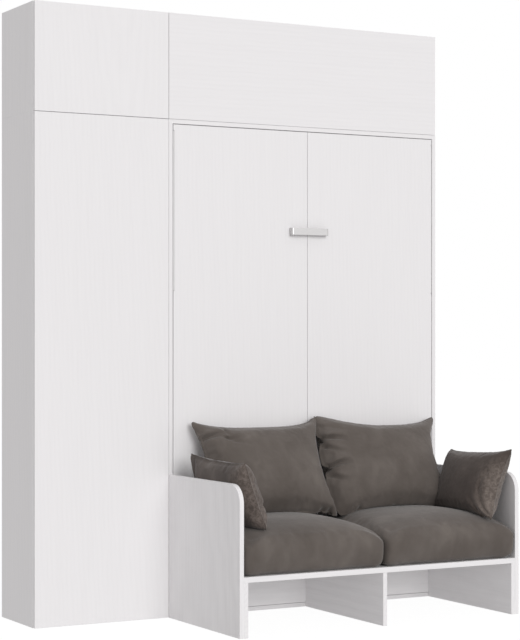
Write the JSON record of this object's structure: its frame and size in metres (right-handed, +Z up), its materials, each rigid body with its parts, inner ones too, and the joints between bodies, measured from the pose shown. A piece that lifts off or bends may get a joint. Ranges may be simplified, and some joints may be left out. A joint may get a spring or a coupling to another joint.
{
  "type": "wall bed",
  "caption": "Vertical wall bed behind a two-door front over a fixed sofa, with a tall column beside it and cupboards above.",
  "frame": {"origin": "on the floor under the middle of the bounding box of the whole piece of furniture", "axes": "+X to the right seen from the room, +Y towards the wall behind it, +Z up"},
  "size_m": [1.94, 0.994, 2.531],
  "materials": {
    "laminate": "white ash-look laminate, fine embossed grain",
    "back_board": "plain white hardboard",
    "satin_metal": "satin",
    "plated_steel": "zinc plated",
    "frame_steel": "grey powder coat",
    "white_steel": "white powder coat",
    "strut_paint": "black, semi-gloss",
    "rod_chrome": "polished",
    "slat_wood": "beech veneer, satin",
    "holder_plastic": "matt",
    "mattress_cloth": "knitted ticking",
    "strap_webbing": "woven elastic webbing",
    "sofa_fabric": "dark taupe suede-like microfibre"
  },
  "bodies": {
    "root": {"column_side_left": "laminate", "column_side_right": "laminate", "column_flats": "laminate", "column_back": "back_board", "column_shelves": "laminate", "upper_left_sides": "laminate", "upper_left_flats": "laminate", "upper_left_back": "back_board", "upper_right_sides": "laminate", "upper_right_flats": "laminate", "upper_right_back": "back_board", "upper_right_divider": "laminate", "hinge_plates": "plated_steel", "surround_left": "laminate", "surround_right": "laminate", "surround_top": "laminate", "surround_bottom": "laminate", "wall_rails": "laminate", "lower_panel": "laminate", "sofa_arm_left": "laminate", "sofa_arm_right": "laminate", "seat_supports": "laminate", "seat_divider": "laminate", "seat_board": "laminate", "arm_bearings": "plated_steel", "strut_studs": "plated_steel", "seat_cushion_left": "sofa_fabric", "seat_cushion_right": "sofa_fabric", "back_cushion_left": "sofa_fabric", "back_cushion_right": "sofa_fabric", "arm_pillow_left": "sofa_fabric", "arm_pillow_right": "sofa_fabric"},
    "bed": {"bed_door_left": "laminate", "bed_door_right": "laminate", "bed_handle": "satin_metal", "bed_rail_left": "frame_steel", "bed_rail_right": "frame_steel", "bed_cross_rails": "frame_steel", "bed_rail_centre": "frame_steel", "slats": "slat_wood", "slat_holders": "holder_plastic", "mattress": "mattress_cloth", "mattress_straps": "strap_webbing", "pivot_plate_left": "plated_steel", "pivot_plate_right": "plated_steel", "leg_pins": "plated_steel", "bed_strut_frame_studs": "plated_steel"},
    "leg_left": {"leg_left": "white_steel"},
    "leg_right": {"leg_right": "white_steel"},
    "bed_strut_cylinders": {"bed_strut_cylinders": "strut_paint"},
    "bed_strut_rods": {"bed_strut_rods": "rod_chrome"},
    "column_door": {"column_door": "laminate", "column_hinge_cups": "plated_steel"},
    "upper_left_door": {"upper_left_door": "laminate", "upper_left_hinge_cups": "plated_steel"},
    "flap": {"upper_right_flap": "laminate", "flap_hinge_cups": "plated_steel", "flap_stay_brackets": "plated_steel"},
    "flap_stay_cylinders": {"flap_stay_cylinders": "strut_paint"},
    "flap_stay_rods": {"flap_stay_rods": "rod_chrome"}
  },
  "joints": [
    {"name": "bed_fold", "type": "hinge", "parent": "root", "child": "bed", "pos_m": [0.3, -0.019, 0.455], "axis": [1, 0, 0], "range_deg": [0, 90], "deforming": ["back_cushion_left", "back_cushion_right", "arm_pillow_left", "arm_pillow_right"]},
    {"name": "leg_left_swing", "type": "hinge", "parent": "bed", "child": "leg_left", "pos_m": [-0.3465, 0.164, 2.005], "axis": [1, 0, 0], "range_deg": [-90, 0]},
    {"name": "leg_right_swing", "type": "hinge", "parent": "bed", "child": "leg_right", "pos_m": [0.9465, 0.164, 2.005], "axis": [1, 0, 0], "range_deg": [-90, 0]},
    {"name": "bed_strut_swing", "type": "hinge", "parent": "root", "child": "bed_strut_cylinders", "pos_m": [0.3, 0.331, 1.22], "axis": [1, 0, 0], "range_deg": [-4.23, 0]},
    {"name": "bed_strut_slide", "type": "slide", "parent": "bed_strut_cylinders", "child": "bed_strut_rods", "axis": [0, 0.1697, 0.9855], "range_m": [0, 0.38458]},
    {"name": "column_door_swing", "type": "hinge", "parent": "root", "child": "column_door", "pos_m": [-0.964, 0.141, 1.0425], "axis": [0, 0, -1], "range_deg": [0, 100]},
    {"name": "upper_left_door_swing", "type": "hinge", "parent": "root", "child": "upper_left_door", "pos_m": [-0.964, 0.141, 2.308], "axis": [0, 0, -1], "range_deg": [0, 100]},
    {"name": "flap_lift", "type": "hinge", "parent": "root", "child": "flap", "pos_m": [0.3, 0.14, 2.525], "axis": [-1, 0, 0], "range_deg": [0, 90]},
    {"name": "flap_stay_swing", "type": "hinge", "parent": "root", "child": "flap_stay_cylinders", "pos_m": [0.3, 0.351, 2.381], "axis": [1, 0, 0], "range_deg": [0, 0.4513]},
    {"name": "flap_stay_slide", "type": "slide", "parent": "flap_stay_cylinders", "child": "flap_stay_rods", "axis": [0, -0.9249, 0.3802], "range_m": [0, 0.10835]}
  ],
  "couplings": [
    {"joint": "leg_left_swing", "follows": "bed_fold", "ratio": -1},
    {"joint": "leg_right_swing", "follows": "bed_fold", "ratio": -1},
    {"joint": "bed_strut_swing", "follows": "bed_fold", "ratio": -0.046904},
    {"joint": "bed_strut_slide", "follows": "bed_fold", "m_per_rad": 0.24477},
    {"joint": "flap_stay_swing", "follows": "flap_lift", "ratio": 0.0049035},
    {"joint": "flap_stay_slide", "follows": "flap_lift", "m_per_rad": 0.068915}
  ]
}
